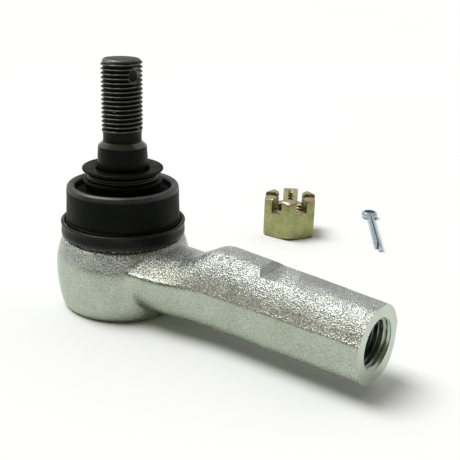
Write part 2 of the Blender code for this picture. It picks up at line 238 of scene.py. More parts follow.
def apply(piece, kind, **settings):
    """Adds a modifier with the given settings and applies it."""
    modifier = piece.modifiers.new(kind.lower(), kind)
    for name, value in settings.items():
        setattr(modifier, name, value)
    bpy.context.view_layer.objects.active = piece
    bpy.ops.object.modifier_apply(modifier=modifier.name)


def put(piece, place, rotation):
    """Turns a piece, moves it to its place and fixes both in its mesh."""
    bpy.ops.object.select_all(action="DESELECT")
    piece.select_set(True)
    piece.rotation_euler = rotation
    piece.location = place
    bpy.ops.object.transform_apply()


def carve(piece, tool, operation="DIFFERENCE"):
    """Cuts the tool out of the piece, or joins it on, and puts the tool away."""
    apply(piece, "BOOLEAN", operation=operation, solver="MANIFOLD", object=tool)
    bpy.data.objects.remove(tool)


def smooth(piece, angle=30.0):
    """Shades the piece smooth, apart from edges sharper than the angle in degrees."""
    bpy.ops.object.select_all(action="DESELECT")
    piece.select_set(True)
    bpy.context.view_layer.objects.active = piece
    bpy.ops.object.shade_smooth_by_angle(angle=math.radians(angle))


def coat(piece, *finishes):
    """Gives a piece its materials and no others."""
    piece.data.materials.clear()
    for finish in finishes:
        piece.data.materials.append(finish)


def along(table_of_points, x):
    """Reads a length at x from (x, length) points in millimetres, on straight lines between them."""
    place = x / MM
    for (before, low), (after, high) in zip(table_of_points, table_of_points[1:]):
        if place <= after:
            step = max(0.0, (place - before) / (after - before))
            return (low + (high - low) * step) * MM
    return table_of_points[-1][1] * MM


def thread_rings(radius, low, high, pitch, per_turn=12):
    """Profile points close enough together for a thread to be formed in them."""
    count = round((high - low) / pitch * per_turn)
    return [(radius, low + (high - low) * step / count) for step in range(count + 1)]


def form_thread(piece, crest, depth, low, high, pitch, fade):
    """Presses a right-hand thread into a turned surface: flanks at 60 degrees, a flat crest and root."""
    root_share, flank_share = 0.2, 0.68
    for vertex in piece.data.vertices:
        place = vertex.co
        if not low <= place.z <= high:
            continue
        phase = (place.z / pitch - math.atan2(place.y, place.x) / math.tau) % 1.0
        flank = (abs(2.0 * phase - 1.0) - root_share) / flank_share
        groove = depth * (1.0 - min(1.0, max(0.0, flank)))
        run_out = min(1.0, (place.z - low) / fade, (high - place.z) / fade)
        radius = math.hypot(place.x, place.y)
        wanted = min(radius, crest - groove * max(0.0, run_out))
        place.x *= wanted / radius
        place.y *= wanted / radius


def box_tool(low, high, bottom_shrink=1.0):
    """A block from its low corner to its high one, with its far ends sloped in towards the bottom."""
    bpy.ops.object.select_all(action="DESELECT")
    low, high = Vector(low), Vector(high)
    bpy.ops.mesh.primitive_cube_add(size=1.0, location=(low + high) / 2)
    block = bpy.context.object
    block.scale = high - low
    bpy.ops.object.transform_apply()
    middle = (low.x + high.x) / 2
    for vertex in block.data.vertices:
        if vertex.co.z < (low.z + high.z) / 2:
            vertex.co.x = middle + (vertex.co.x - middle) * bottom_shrink
    return block


def draw_socket():
    """The socket's outside, from its underside up over its fullest ring to the neck."""
    profile = in_metres([(15.5, 0.0), (17.6, 0.0), (18.4, 0.5), (19.0, 2.2), (19.6, 5.0), (20.0, 8.5)])
    profile += in_metres([(20.2, 12.0), (20.0, 15.6), (19.7, 16.6), (19.0, 19.4), (18.4, 21.2)])
    profile += in_metres([(17.8, 21.9), (16.0, 22.0)])
    profile += [(NECK_RADIUS, 22.5 * MM), (NECK_RADIUS, 26.4 * MM), (NECK_RADIUS - 0.4 * MM, 26.8 * MM)]
    return turn("housing_forging", profile, sides=128)


def set_to_section(place):
    """Moves a point of a ring onto the shank's section: round above the parting line, squarer below."""
    angle = math.atan2(place.z - PARTING_Z, place.y)
    half_width = along(SHANK_HALF_WIDTHS, place.x)
    if angle > 0.0:
        top = along(SHANK_TOPS, place.x)
        crown = top + CROWN_CUT - SHANK_AXIS_Z
        foot = math.asin((PARTING_Z - SHANK_AXIS_Z) / crown)
        angle = foot + (math.pi - 2 * foot) * angle / math.pi
        place.y = half_width * math.cos(angle)
        place.z = min(SHANK_AXIS_Z + crown * math.sin(angle), top)
    else:
        across = math.cos(angle)
        place.y = half_width * math.copysign(abs(across) ** SQUARENESS, across)
        place.z = PARTING_Z - (PARTING_Z - SHANK_BOTTOM) * abs(math.sin(angle)) ** SQUARENESS


def draw_shank(points=72, step=1.0 * MM):
    """The shank blank: a disc drawn out along +X, each of its rings then set to the shank's section."""
    length = SHANK_END + 2.0 * MM - SHANK_START
    middle = (SHANK_START, 0, PARTING_Z)
    bpy.ops.object.select_all(action="DESELECT")
    bpy.ops.mesh.primitive_circle_add(
        vertices=points, radius=10 * MM, fill_type="NGON", location=middle, rotation=(0, math.pi / 2, 0)
    )
    shank = bpy.context.object
    bpy.ops.object.transform_apply()
    bpy.ops.object.mode_set(mode="EDIT")
    rings = round(length / step)
    for _ in range(rings):
        bpy.ops.mesh.extrude_region_move(TRANSFORM_OT_translate={"value": (length / rings, 0, 0)})
    bpy.ops.mesh.select_all(action="SELECT")
    bpy.ops.mesh.normals_make_consistent(inside=False)
    bpy.ops.object.mode_set(mode="OBJECT")
    for vertex in shank.data.vertices:
        set_to_section(vertex.co)
    return shank


def forge(piece):
    """Melts socket and shank into one skin with soft fillets, and gives it a forging's slight waves."""
    apply(piece, "REMESH", mode="VOXEL", voxel_size=0.4 * MM)
    fillets = piece.vertex_groups.new(name="fillets")
    for vertex in piece.data.vertices:
        near_socket = 1.0 - min(1.0, max(0.0, (vertex.co.x - FILLET_END) / FILLET_FADE))
        on_neck = math.hypot(vertex.co.x, vertex.co.y) < NECK_RADIUS + 0.3 * MM
        fillets.add([vertex.index], 0.12 if on_neck else 0.1 + 0.9 * near_socket, "REPLACE")
    apply(piece, "SMOOTH", factor=0.5, iterations=45, vertex_group="fillets")
    waves = bpy.data.textures.new("forging_waves", "CLOUDS")
    waves.noise_scale = 5.0 * MM
    apply(piece, "DISPLACE", texture=waves, texture_coords="LOCAL", strength=0.14 * MM, mid_level=0.5)


def cut_bore(piece):
    """The end faced off square, then a blind hole with a countersunk mouth and a thread along it."""
    reach = 40.0 * MM
    carve(piece, box_tool((SHANK_END, -reach, -reach), (SHANK_END + reach, reach, reach)))
    tip = BORE_RADIUS * math.tan(math.radians(30))
    thread_foot = 8.0 * MM - BORE_DEPTH
    profile = [(0.05 * MM, -BORE_DEPTH - tip), (BORE_RADIUS, -BORE_DEPTH)]
    profile += thread_rings(BORE_THREAD, thread_foot, 0.0, BORE_PITCH, per_turn=10)
    profile += [(BORE_MOUTH, 0.02 * MM), (BORE_MOUTH, 1.0 * MM)]
    tap = turn("tap", profile, sides=48)
    depth = BORE_THREAD - BORE_RADIUS
    form_thread(tap, BORE_THREAD, depth, thread_foot - MM, 0.0, BORE_PITCH, 0.01 * MM)
    for vertex in tap.data.vertices:
        if BORE_RADIUS - BORE_MOUTH < vertex.co.z <= 0.0:
            radius = math.hypot(vertex.co.x, vertex.co.y)
            grow = max(radius, BORE_MOUTH + vertex.co.z) / radius
            vertex.co.x *= grow
            vertex.co.y *= grow
    put(tap, (SHANK_END, 0.0, SHANK_AXIS_Z), (0.0, math.pi / 2, 0.0))
    carve(piece, tap)


def cut_socket(piece):
    """The cavity bored from below, its opening cut for the stud's swing, and the lip round the plate."""
    widening = math.tan(math.radians(25))
    swing_foot = CAVITY_ROOF + 0.8 * MM
    top = 28.0 * MM
    profile = [(PLATE_LIP, -1.0 * MM), (PLATE_LIP, 1.2 * MM), (CAVITY_RADIUS, 1.2 * MM)]
    profile += [(CAVITY_RADIUS, CAVITY_ROOF - 0.6 * MM), (CAVITY_RADIUS - 0.6 * MM, CAVITY_ROOF)]
    profile += [(OPENING, CAVITY_ROOF), (OPENING, swing_foot)]
    profile += [(OPENING + (top - swing_foot) * widening, top)]
    carve(piece, turn("boring_bar", profile, sides=96))


def cut_flats(piece):
    """Two wrench flats, across the top and the underside of the shank."""
    bottom, top = WRENCH_FLATS
    reach = 15.0 * MM
    above = (FLAT_END, reach, top + 3.0 * MM)
    carve(piece, box_tool((FLAT_START, -reach, top), above, bottom_shrink=0.78))
    carve(piece, box_tool((FLAT_START, -reach, bottom - reach), (FLAT_END, reach, bottom)))


def sort_machined_faces(piece):
    """Gives the faces left by the cutting tools the second material."""
    for face in piece.data.polygons:
        middle = face.center
        on_end = middle.x > SHANK_END - 0.05 * MM
        from_axis = math.hypot(middle.y, middle.z - SHANK_AXIS_Z)
        in_bore = middle.x > 25.0 * MM and from_axis < BORE_MOUTH + 0.2 * MM
        in_socket = math.hypot(middle.x, middle.y) < CAVITY_RADIUS + 0.1 * MM
        face.material_index = 1 if on_end or in_bore or in_socket else 0


def remap(tree, value, start=0.0, end=1.0, low=0.0, high=1.0):
    """Carries a value from the range start..end over to the range low..high, stopping at its ends."""
    inputs = {"Value": value, "From Min": start, "From Max": end, "To Min": low, "To Max": high}
    return add_node(tree, "ShaderNodeMapRange", inputs).outputs["Result"]


def combine(tree, operation, first, second):
    return add_node(tree, "ShaderNodeMath", {0: first, 1: second}, operation=operation).outputs[0]


def mix_colours(tree, factor, first, second, blend="MIX"):
    inputs = {0: factor, 6: first, 7: second}
    return add_node(tree, "ShaderNodeMix", inputs, data_type="RGBA", blend_type=blend).outputs[2]


def object_place(tree):
    return add_node(tree, "ShaderNodeTexCoord").outputs["Object"]


def object_axis(tree, axis):
    return add_node(tree, "ShaderNodeSeparateXYZ", {"Vector": object_place(tree)}).outputs[axis]


def add_noise(tree, place, scale, detail=2.0, roughness=0.5):
    inputs = {"Vector": place, "Scale": scale, "Detail": detail, "Roughness": roughness}
    return add_node(tree, "ShaderNodeTexNoise", inputs).outputs["Fac"]


def add_rings(tree, place, scale, distortion, axis):
    """Fine rings about an axis, as a turning or press tool leaves."""
    inputs = {"Vector": place, "Scale": scale, "Distortion": distortion, "Detail": 1.0}
    wave = add_node(tree, "ShaderNodeTexWave", inputs, wave_type="RINGS", rings_direction=axis)
    return wave.outputs["Fac"]


def new_group(name, inputs, outputs):
    """A node group whose sockets are all numbers, and the nodes at its two ends."""
    group = bpy.data.node_groups.new(name, "ShaderNodeTree")
    for direction, sockets in (("INPUT", inputs), ("OUTPUT", outputs)):
        for socket in sockets:
            group.interface.new_socket(socket, in_out=direction, socket_type="NodeSocketFloat")
    return group, add_node(group, "NodeGroupInput"), add_node(group, "NodeGroupOutput")


def grain_group():
    """Shot-blasted skin: small dents that overlap, and a tone that varies at the same size."""
    group, inside, outside = new_group("blasted_grain", ("Cells",), ("Height", "Tone"))
    place = object_place(group)
    cells = inside.outputs["Cells"]
    dented = {"Vector": place, "Scale": cells, "Smoothness": 0.6}
    dents = add_node(group, "ShaderNodeTexVoronoi", dented, feature="SMOOTH_F1").outputs["Distance"]
    height = combine(group, "ADD", dents, add_noise(group, place, cells, 3.0, 0.6))
    turned = add_node(group, "ShaderNodeMapping", {"Vector": place, "Rotation": (0.5, 0.9, 0.2)})
    tone = add_noise(group, turned.outputs["Vector"], cells)
    group.links.new(height, outside.inputs["Height"])
    group.links.new(tone, outside.inputs["Tone"])
    return group


def patches_group():
    """Soft patches where the finish or the handling is uneven."""
    group, inside, outside = new_group("uneven_finish", ("Size",), ("Mask",))
    scale = combine(group, "DIVIDE", 1.0, inside.outputs["Size"])
    noise = add_noise(group, object_place(group), scale, 4.0, 0.6)
    group.links.new(remap(group, noise, 0.35, 0.65), outside.inputs["Mask"])
    return group


GRAIN = grain_group()
PATCHES = patches_group()


def add_group(tree, group, **inputs):
    return add_node(tree, "ShaderNodeGroup", inputs, node_tree=group).outputs


def add_patches(tree, size):
    return add_group(tree, PATCHES, Size=size)["Mask"]


def dress(tree, shader, colour, roughness, metallic=0.0, shine=None):
    """Feeds the shader its colour and roughness, and its specular level where that varies."""
    tree.links.new(colour, shader.inputs["Base Color"])
    tree.links.new(roughness, shader.inputs["Roughness"])
    shader.inputs["Metallic"].default_value = metallic
    if shine is not None:
        tree.links.new(shine, shader.inputs["Specular IOR Level"])


def emboss(tree, shader, height, strength, distance):
    inputs = {"Height": height, "Strength": strength, "Distance": distance}
    bump = add_node(tree, "ShaderNodeBump", inputs)
    tree.links.new(bump.outputs["Normal"], shader.inputs["Normal"])


def paint_forging():
    """Zinc over a blasted skin, coarse above the parting line and fine below it. Its colour holds painted
    light: paler below the parting line, a painted reflection of the white table, and an olive cast at
    the foot of the shank's upper half, a painted reflection of the warm room, going grey higher up and
    on the socket."""
    material, tree, shader = new_material("zinc_plated_forging")
    height = object_axis(tree, "Z")
    above = remap(tree, height, PARTING_Z - 0.3 * MM, PARTING_Z + 0.5 * MM)
    olive_reflection_fade = remap(tree, height, PARTING_Z, PARTING_Z + 6.0 * MM)
    on_socket = remap(tree, object_axis(tree, "X"), 28.0 * MM, 14.0 * MM)
    patches = add_patches(tree, 9.0 * MM)
    # Painted light: pale below the parting line is a painted reflection of the table, and olive above it
    # is a painted reflection of the room, fading to grey with height and on the socket.
    pale = mix_colours(tree, patches, (0.39, 0.44, 0.35, 1), (0.46, 0.51, 0.43, 1))
    olive = mix_colours(tree, patches, (0.36, 0.355, 0.28, 1), (0.45, 0.45, 0.38, 1))
    grey = mix_colours(tree, patches, (0.40, 0.42, 0.38, 1), (0.52, 0.54, 0.51, 1))
    upper = mix_colours(tree, combine(tree, "MAXIMUM", olive_reflection_fade, on_socket), olive, grey)
    grain = add_group(tree, GRAIN, Cells=2500.0)
    tone = grain["Tone"]
    speckle = add_ramp(tree, tone, ((0.3, (0.76, 0.76, 0.76, 1)), (0.7, (1.22, 1.22, 1.22, 1))))
    colour = mix_colours(tree, 1.0, mix_colours(tree, above, pale, upper), speckle, "MULTIPLY")
    dress(tree, shader, colour, remap(tree, tone, 0.3, 0.7, 0.18, 0.36), 0.9)
    emboss(tree, shader, grain["Height"], remap(tree, above, low=0.35), 0.19 * MM)
    return material


def paint_machined_zinc():
    """Zinc over a turned face: pale, smooth and satin, with the tool's rings round the bore. Down its
    thread the colour is darker, which is painted shade in the hole."""
    material, tree, shader = new_material("zinc_plated_machining")
    about_bore = {"Vector": object_place(tree), "Location": (0.0, 0.0, -SHANK_AXIS_Z)}
    centred = add_node(tree, "ShaderNodeMapping", about_bore).outputs["Vector"]
    rings = add_rings(tree, centred, 900.0, 0.6, "X")
    outside = remap(tree, object_axis(tree, "X"), SHANK_END - 4.0 * MM, SHANK_END - 0.8 * MM)
    patches = add_patches(tree, 5.0 * MM)
    pale = mix_colours(tree, patches, (0.49, 0.55, 0.46, 1), (0.58, 0.63, 0.55, 1))
    # Painted shade: deeper in the bore, past about a millimetre, the colour is darkened.
    painted_bore_shade = mix_colours(tree, patches, (0.13, 0.18, 0.17, 1), (0.24, 0.29, 0.27, 1))
    colour = mix_colours(tree, outside, painted_bore_shade, pale)
    dress(tree, shader, colour, remap(tree, rings, low=0.26, high=0.38), 0.9)
    emboss(tree, shader, rings, 0.25, 0.02 * MM)
    return material


housing = draw_socket()
carve(housing, draw_shank(), "UNION")
forge(housing)
cut_flats(housing)
cut_bore(housing)
cut_socket(housing)
coat(housing, paint_forging(), paint_machined_zinc())
sort_machined_faces(housing)
smooth(housing, 35.0)
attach(housing, "tie_rod_housing")
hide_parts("housing")


# ---------------------------------------------------------------------------------------------------
# The ball stud
# Forged steel with a black phosphate finish: the ball, a neck inside the boot, a 1:8 taper for the
# steering arm with a shiny chamfer, and an M12 thread drilled across for the pin. The thread's crests
# are painted grey, partly as rubbed phosphate and partly as a painted highlight.

BALL_CENTRE = 14.5 * MM
BALL_RADIUS = 10.5 * MM
STUD_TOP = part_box("ball_stud")[1].z
THREAD_RADIUS = 5.95 * MM
THREAD_DEPTH = 0.74 * MM
THREAD_PITCH = 1.25 * MM
THREAD_FOOT = 53.2 * MM
RELIEF_RADIUS = 5.6 * MM
CHAMFER_FOOT = 48.8 * MM
CHAMFER_TOP = 50.1 * MM
PIN_HOLE_Z = 69.2 * MM
PIN_HOLE_RADIUS = 1.7 * MM


def draw_stud():
    """The ball, the neck, the taper with its chamfer, the relief groove and the thread up to its tip."""
    profile = arc(BALL_RADIUS, (0.0, BALL_CENTRE), -80.0, 52.0, 26)
    profile += in_metres([(6.25, 23.6), (6.2, 24.5), (6.2, 32.5), (6.5, 34.2)])
    profile += [(7.84 * MM, 37.0 * MM), (7.1 * MM, CHAMFER_FOOT - 0.1 * MM)]
    profile += [(7.05 * MM, CHAMFER_FOOT + 0.1 * MM)]
    profile += [(5.75 * MM, CHAMFER_TOP - 0.1 * MM), (RELIEF_RADIUS, CHAMFER_TOP + 0.3 * MM)]
    profile += [(RELIEF_RADIUS, THREAD_FOOT - 0.5 * MM)]
    profile += thread_rings(THREAD_RADIUS, THREAD_FOOT, STUD_TOP - 0.9 * MM, THREAD_PITCH, per_turn=13)
    profile += [(5.2 * MM, STUD_TOP - 0.2 * MM), (4.9 * MM, STUD_TOP - 0.05 * MM), (4.4 * MM, STUD_TOP)]
    stud = turn("stud_forging", profile, sides=72)
    low, high = THREAD_FOOT - 0.4 * MM, STUD_TOP - 0.1 * MM
    form_thread(stud, THREAD_RADIUS, THREAD_DEPTH, low, high, THREAD_PITCH, 1.4 * MM)
    return stud


def drill_pin_hole(piece):
    """A hole across the thread with countersunk mouths, so that the pin's legs slide in."""
    reach = 9.0 * MM
    mouth = THREAD_RADIUS - 1.4 * MM
    flare = PIN_HOLE_RADIUS + reach - mouth
    profile = [(flare, -reach), (PIN_HOLE_RADIUS, -mouth), (PIN_HOLE_RADIUS, mouth), (flare, reach)]
    drill = turn("pin_drill", profile, sides=40)
    put(drill, (0.0, 0.0, PIN_HOLE_Z), (0.0, math.pi / 2, 0.0))
    carve(piece, drill)


def wear_and_highlight_group():
    """A mask bright on ridges and corners, nothing in the hollows: where an outer edge has been rubbed,
    and on the stud's crests and the band's lip partly a painted highlight.
    """
    group, inside, outside = new_group("edge_wear_and_highlight", ("Start", "Sharpness"), ("Mask",))
    ridge = add_node(group, "ShaderNodeNewGeometry").outputs["Pointiness"]
    above = combine(group, "SUBTRACT", ridge, inside.outputs["Start"])
    sharp = combine(group, "MULTIPLY", above, inside.outputs["Sharpness"])
    broken = combine(group, "MULTIPLY", sharp, add_noise(group, object_place(group), 700.0, 3.0))
    group.links.new(remap(group, broken), outside.inputs["Mask"])
    return group


EDGE_WEAR_AND_HIGHLIGHT = wear_and_highlight_group()


def paint_phosphate():
    """Black phosphate under oil: fine crystals, a satin gloss, a shiny chamfer, and crests painted
    grey, partly as rubbed phosphate and partly as a painted highlight.
    """
    material, tree, shader = new_material("black_phosphate")
    height = object_axis(tree, "Z")
    near_chamfer = remap(tree, height, CHAMFER_FOOT - 1.0 * MM, CHAMFER_TOP + 1.0 * MM)
    none, full = (0, 0, 0, 1), (1, 1, 1, 1)
    on_chamfer = add_ramp(tree, near_chamfer, ((0.26, none), (0.32, full), (0.66, full), (0.74, none)))
    wear_and_highlight = add_group(tree, EDGE_WEAR_AND_HIGHLIGHT, Start=0.515, Sharpness=60.0)["Mask"]
    crests = combine(tree, "MULTIPLY", wear_and_highlight, remap(tree, height, THREAD_FOOT - 1.0 * MM, THREAD_FOOT))
    patches = add_patches(tree, 3.0 * MM)
    black = mix_colours(tree, patches, (0.003, 0.004, 0.003, 1), (0.008, 0.009, 0.007, 1))
    # Partly painted highlight: the thread's crests are painted grey, as rubbed phosphate and as glints.
    rubbed = mix_colours(tree, crests, black, (0.10, 0.105, 0.09, 1))
    colour = mix_colours(tree, on_chamfer, rubbed, (0.03, 0.032, 0.028, 1))
    satin = remap(tree, patches, low=0.28, high=0.42)
    gloss = mix_colours(tree, on_chamfer, satin, (0.15, 0.15, 0.15, 1))
    shine = remap(tree, combine(tree, "MAXIMUM", crests, on_chamfer), low=0.08)
    dress(tree, shader, colour, gloss, shine=shine)
    emboss(tree, shader, add_group(tree, GRAIN, Cells=5200.0)["Height"], 0.18, 0.05 * MM)
    return material


stud = draw_stud()
drill_pin_hole(stud)
coat(stud, paint_phosphate())
smooth(stud, 40.0)
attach(stud, "stud")
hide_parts("ball_stud")


# ---------------------------------------------------------------------------------------------------
# The dust boot
# Moulded black rubber: a foot clamped on the housing's neck, a wall that rolls in over its rim, a web
# down to the stud, and a collar with a groove for its ring and a thin flange that meets the arm.

BOOT_RIM_TOP = 37.4 * MM
RIM_FOOT = BOOT_RIM_TOP - 1.3 * MM
RIM_INSIDE = 13.8 * MM
COLLAR_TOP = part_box("dust_boot")[1].z


def draw_boot():
    """Down the outside from the flange to the foot, then back up the inside."""
    bore = 7.85 * MM
    profile = [(bore, COLLAR_TOP - 0.5 * MM), (bore + 0.5 * MM, COLLAR_TOP - 0.1 * MM)]
    profile += [(9.6 * MM, COLLAR_TOP - 0.15 * MM), (11.2 * MM, COLLAR_TOP)]
    profile += arc(0.45 * MM, (11.45 * MM, COLLAR_TOP - 0.45 * MM), 80.0, -80.0, 6)
    profile += [(10.9 * MM, COLLAR_TOP - 1.25 * MM), (10.5 * MM, COLLAR_TOP - 1.5 * MM)]
    profile += in_metres([(9.7, 40.7), (9.7, 39.2), (10.4, 39.1)])
    profile += arc(0.6 * MM, (11.0 * MM, 38.5 * MM), 90.0, -60.0, 6)
    profile += in_metres([(10.9, 37.2), (10.8, 35.4), (11.1, 34.8), (11.8, 34.4)])
    profile += in_metres([(13.0, 34.3), (13.7, 34.6), (14.05, 35.2)])
    profile += arc(1.2 * MM, (15.3 * MM, BOOT_RIM_TOP - 1.2 * MM), 180.0, 20.0, 12)
    profile += in_metres([(16.6, 35.6), (16.6, 34.2), (16.65, 32.6), (16.7, 31.0), (16.75, 29.6)])
    profile += in_metres([(16.8, 28.4), (16.8, 27.4), (16.7, 26.9), (17.05, 26.7), (17.05, 22.5)])
    profile += in_metres([(16.9, 22.35), (15.7, 22.35), (15.6, 22.6), (15.6, 26.6), (15.3, 27.6)])
    profile += in_metres([(15.3, 28.8), (15.25, 30.2), (15.2, 31.6), (15.0, 32.8), (14.4, 33.3)])
    profile += in_metres([(11.0, 33.3), (8.6, 33.3), (8.15, 33.8), (8.15, 37.2)])
    return turn("rubber_boot", profile, sides=112, ring=True)


def mark_rim(piece):
    """Marks the rolled rim on the mesh itself, as a value on each of its points."""
    mark = piece.data.attributes.new("rim", "FLOAT", "POINT")
    for vertex, value in zip(piece.data.vertices, mark.data):
        outside = math.hypot(vertex.co.x, vertex.co.y) > RIM_INSIDE
        rise = (vertex.co.z - RIM_FOOT) / (0.4 * MM)
        value.value = min(1.0, max(0.0, rise)) if outside else 0.0


def paint_rubber():
    """Moulded rubber: near black and matt, with a faint bloom in patches, the mould's fine texture and a
    shinier rim."""
    material, tree, shader = new_material("boot_rubber")
    bloom = add_patches(tree, 4.0 * MM)
    rubbed = add_group(tree, EDGE_WEAR_AND_HIGHLIGHT, Start=0.56, Sharpness=14.0)["Mask"]
    black = mix_colours(tree, bloom, (0.003, 0.004, 0.003, 1), (0.007, 0.009, 0.007, 1))
    colour = mix_colours(tree, rubbed, black, (0.05, 0.055, 0.05, 1))
    on_rim = add_node(tree, "ShaderNodeAttribute", attribute_name="rim").outputs["Fac"]
    shine = remap(tree, on_rim, low=0.06, high=0.9)
    dress(tree, shader, colour, remap(tree, bloom, low=0.36, high=0.52), shine=shine)
    emboss(tree, shader, add_group(tree, GRAIN, Cells=3000.0)["Height"], 0.12, 0.06 * MM)
    return material


boot = draw_boot()
mark_rim(boot)
coat(boot, paint_rubber())
smooth(boot, 50.0)
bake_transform(boot)
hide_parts("dust_boot")


# ---------------------------------------------------------------------------------------------------
# The boot's rings
# A wide band of spring steel with a rolled upper lip clamps the foot to the housing, and a small wire
# ring, two turns of spring wire, sits in the collar's groove. Both are painted black.

BAND_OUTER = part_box("boot_base_ring")[1].x
BAND_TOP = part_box("boot_base_ring")[1].z
BAND_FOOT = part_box("boot_base_ring")[0].z
NECK_RING_Z = 39.95 * MM
NECK_RING_INNER = 9.8 * MM


def draw_band():
    """Up the inside, over the rolled lip and down the outside."""
    inner, lip = 17.4 * MM, 0.45 * MM
    profile = [(inner, BAND_FOOT + 0.2 * MM), (inner, BAND_TOP - 0.2 * MM)]
    profile += [(inner + 0.15 * MM, BAND_TOP)]
    profile += arc(lip, (BAND_OUTER - lip, BAND_TOP - lip), 90.0, -30.0, 7)
    insets = [(0.22, BAND_TOP - 1.0 * MM), (0.15, BAND_TOP - 2.2 * MM), (0.05, BAND_FOOT + 0.6 * MM)]
    insets += [(0.15, BAND_FOOT + 0.15 * MM), (0.35, BAND_FOOT)]
    profile += [(BAND_OUTER - inset * MM, height) for inset, height in insets]
    profile += [(inner + 0.2 * MM, BAND_FOOT)]
    return turn("clamp_band", profile, sides=128, ring=True)


def draw_neck_ring():
    """Two coils of fine wire, one on the other, deep in the groove."""
    wire = 0.35 * MM
    coils = []
    for height in (NECK_RING_Z - wire, NECK_RING_Z + wire):
        profile = arc(wire, (NECK_RING_INNER + wire, height), 0.0, 337.5, 15)
        coils.append(turn("wire_ring", profile, sides=96, ring=True))
    bpy.ops.object.select_all(action="DESELECT")
    for coil in coils:
        coil.select_set(True)
    bpy.context.view_layer.objects.active = coils[0]
    bpy.ops.object.join()
    return coils[0]


def paint_band():
    """Black paint on steel, painted grey along the lip and other ridges: partly worn paint, partly a
    painted highlight.
    """
    material, tree, shader = new_material("black_ring")
    patches = add_patches(tree, 6.0 * MM)
    wear_and_highlight = add_group(tree, EDGE_WEAR_AND_HIGHLIGHT, Start=0.51, Sharpness=16.0)["Mask"]
    black = mix_colours(tree, patches, (0.005, 0.006, 0.005, 1), (0.011, 0.013, 0.010, 1))
    # Partly painted highlight: the lip and ridges are painted grey, as worn paint and as a highlight
    # line.
    colour = mix_colours(tree, wear_and_highlight, black, (0.05, 0.052, 0.048, 1))
    shine = remap(tree, wear_and_highlight, low=0.1)
    dress(tree, shader, colour, remap(tree, patches, low=0.30, high=0.44), shine=shine)
    emboss(tree, shader, add_group(tree, GRAIN, Cells=2600.0)["Height"], 0.08, 0.05 * MM)
    return material


ring_paint = paint_band()
band = draw_band()
neck_ring = draw_neck_ring()
rings = ((band, "tie_rod_housing", "boot_base_ring"), (neck_ring, "boot_neck", "boot_neck_ring"))
for ring, body, node in rings:
    coat(ring, ring_paint)
    smooth(ring, 50.0)
    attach(ring, body)
    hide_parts(node)


# ---------------------------------------------------------------------------------------------------
# The parts inside the socket and the plate that closes it
# The plate is pressed steel, plated like the housing. Above it are a conical spring washer and the two
# acetal seats that hold the ball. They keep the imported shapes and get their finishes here.


def paint_plate():
    """Zinc on pressed plate: bright, with rings from the press tool and faint scuffs."""
    material, tree, shader = new_material("plated_plate")
    rings = add_rings(tree, object_place(tree), 500.0, 0.4, "Z")
    scuffs = add_patches(tree, 4.0 * MM)
    colour = mix_colours(tree, scuffs, (0.55, 0.59, 0.53, 1), (0.68, 0.71, 0.66, 1))
    dress(tree, shader, colour, remap(tree, scuffs, low=0.28, high=0.42), 0.9)
    emboss(tree, shader, rings, 0.3, 0.03 * MM)
    return material


def paint_spring():
    """Hardened spring steel, straw and blue from tempering."""
    material, tree, shader = new_material("spring_steel")
    patches = add_patches(tree, 5.0 * MM)
    colour = mix_colours(tree, patches, (0.20, 0.22, 0.27, 1), (0.36, 0.32, 0.26, 1))
    dress(tree, shader, colour, remap(tree, patches, low=0.25, high=0.4), 1.0)
    return material


def paint_acetal():
    """White acetal with a film of grease that yellows it in patches."""
    material, tree, shader = new_material("white_acetal")
    grease = add_patches(tree, 4.0 * MM)
    colour = mix_colours(tree, grease, (0.82, 0.81, 0.77, 1), (0.72, 0.66, 0.48, 1))
    dress(tree, shader, colour, remap(tree, grease, low=0.48, high=0.2))
    return material


acetal = paint_acetal()
inner_finishes = {
    "end_cap": paint_plate(),
    "preload_spring": paint_spring(),
    "lower_ball_seat": acetal,
    "upper_ball_seat": acetal,
}
for node, finish in inner_finishes.items():
    coat(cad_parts[node], finish)


# ---------------------------------------------------------------------------------------------------
# The castle nut
# A hexagon nut, chamfered at both ends, with a slot across the middle of each flat for the cotter pin
# and an M12 thread. It is zinc plated and yellow passivated, olive to pink and gold; the faces that
# point up are painted lighter and pinker than the flats, which is painted light.

NUT_PLACE = Vector((4.0, 86.0, 0.0)) * MM
NUT_TURN = math.radians(32)
NUT_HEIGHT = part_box("castle_nut")[1].z
NUT_FLATS = 19.0 * MM
NUT_CORNERS = NUT_FLATS / math.cos(math.radians(30)) / 2
NUT_THREAD = 6.0 * MM
NUT_BORE = 5.4 * MM
NUT_PITCH = 1.25 * MM
SLOT_WIDTH = 4.2 * MM
SLOT_DEPTH = 5.2 * MM


def draw_nut():
    """A hexagon trimmed by a cone at each end, slotted three times across, its edges softly broken."""
    bpy.ops.object.select_all(action="DESELECT")
    bpy.ops.mesh.primitive_cylinder_add(
        vertices=6, radius=NUT_CORNERS, depth=NUT_HEIGHT, location=(0, 0, NUT_HEIGHT / 2)
    )
    nut = bpy.context.object
    nut.name = "slotted_nut"
    bpy.ops.object.transform_apply()
    slope = math.tan(math.radians(28))
    face = NUT_FLATS / 2 * 0.95
    far = NUT_CORNERS + 2.0 * MM
    over = 1.0 * MM
    drop, tip = (far - face) * slope, face - over / slope
    profile = [(tip, -over), (far, drop), (far, NUT_HEIGHT - drop), (tip, NUT_HEIGHT + over)]
    carve(nut, turn("nut_chamfer", profile, sides=96), "INTERSECT")
    for index in range(3):
        foot = (-far, -SLOT_WIDTH / 2, NUT_HEIGHT - SLOT_DEPTH)
        slot = box_tool(foot, (far, SLOT_WIDTH / 2, NUT_HEIGHT + over))
        put(slot, (0, 0, 0), (0, 0, math.radians(60 * index)))
        carve(nut, slot)
    apply(nut, "BEVEL", width=0.28 * MM, segments=2, limit_method="ANGLE", angle_limit=math.radians(25))
    return nut


